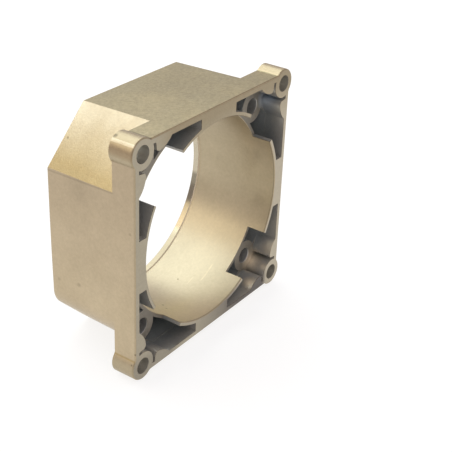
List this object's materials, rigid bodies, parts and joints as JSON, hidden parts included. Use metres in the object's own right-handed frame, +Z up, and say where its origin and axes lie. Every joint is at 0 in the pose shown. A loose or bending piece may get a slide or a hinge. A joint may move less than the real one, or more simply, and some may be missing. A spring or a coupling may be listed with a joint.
{
  "type": "pump adapter",
  "caption": "Cast aluminium housing that joins a pump to an electric motor: square flange with corner bosses, wide through bore, cored corner pockets and cut-off body corners.",
  "frame": {"origin": "middle of the bore on the front face of the square flange", "axes": "+Y along the bore from the pump side to the motor side, +X to the right seen from the front, +Z up"},
  "size_m": [0.1324, 0.056, 0.1324],
  "materials": {
    "cast_aluminium": "bare casting with a machined front, bore and rear"
  },
  "bodies": {
    "root": {"adapter_housing": "cast_aluminium"}
  },
  "joints": []
}
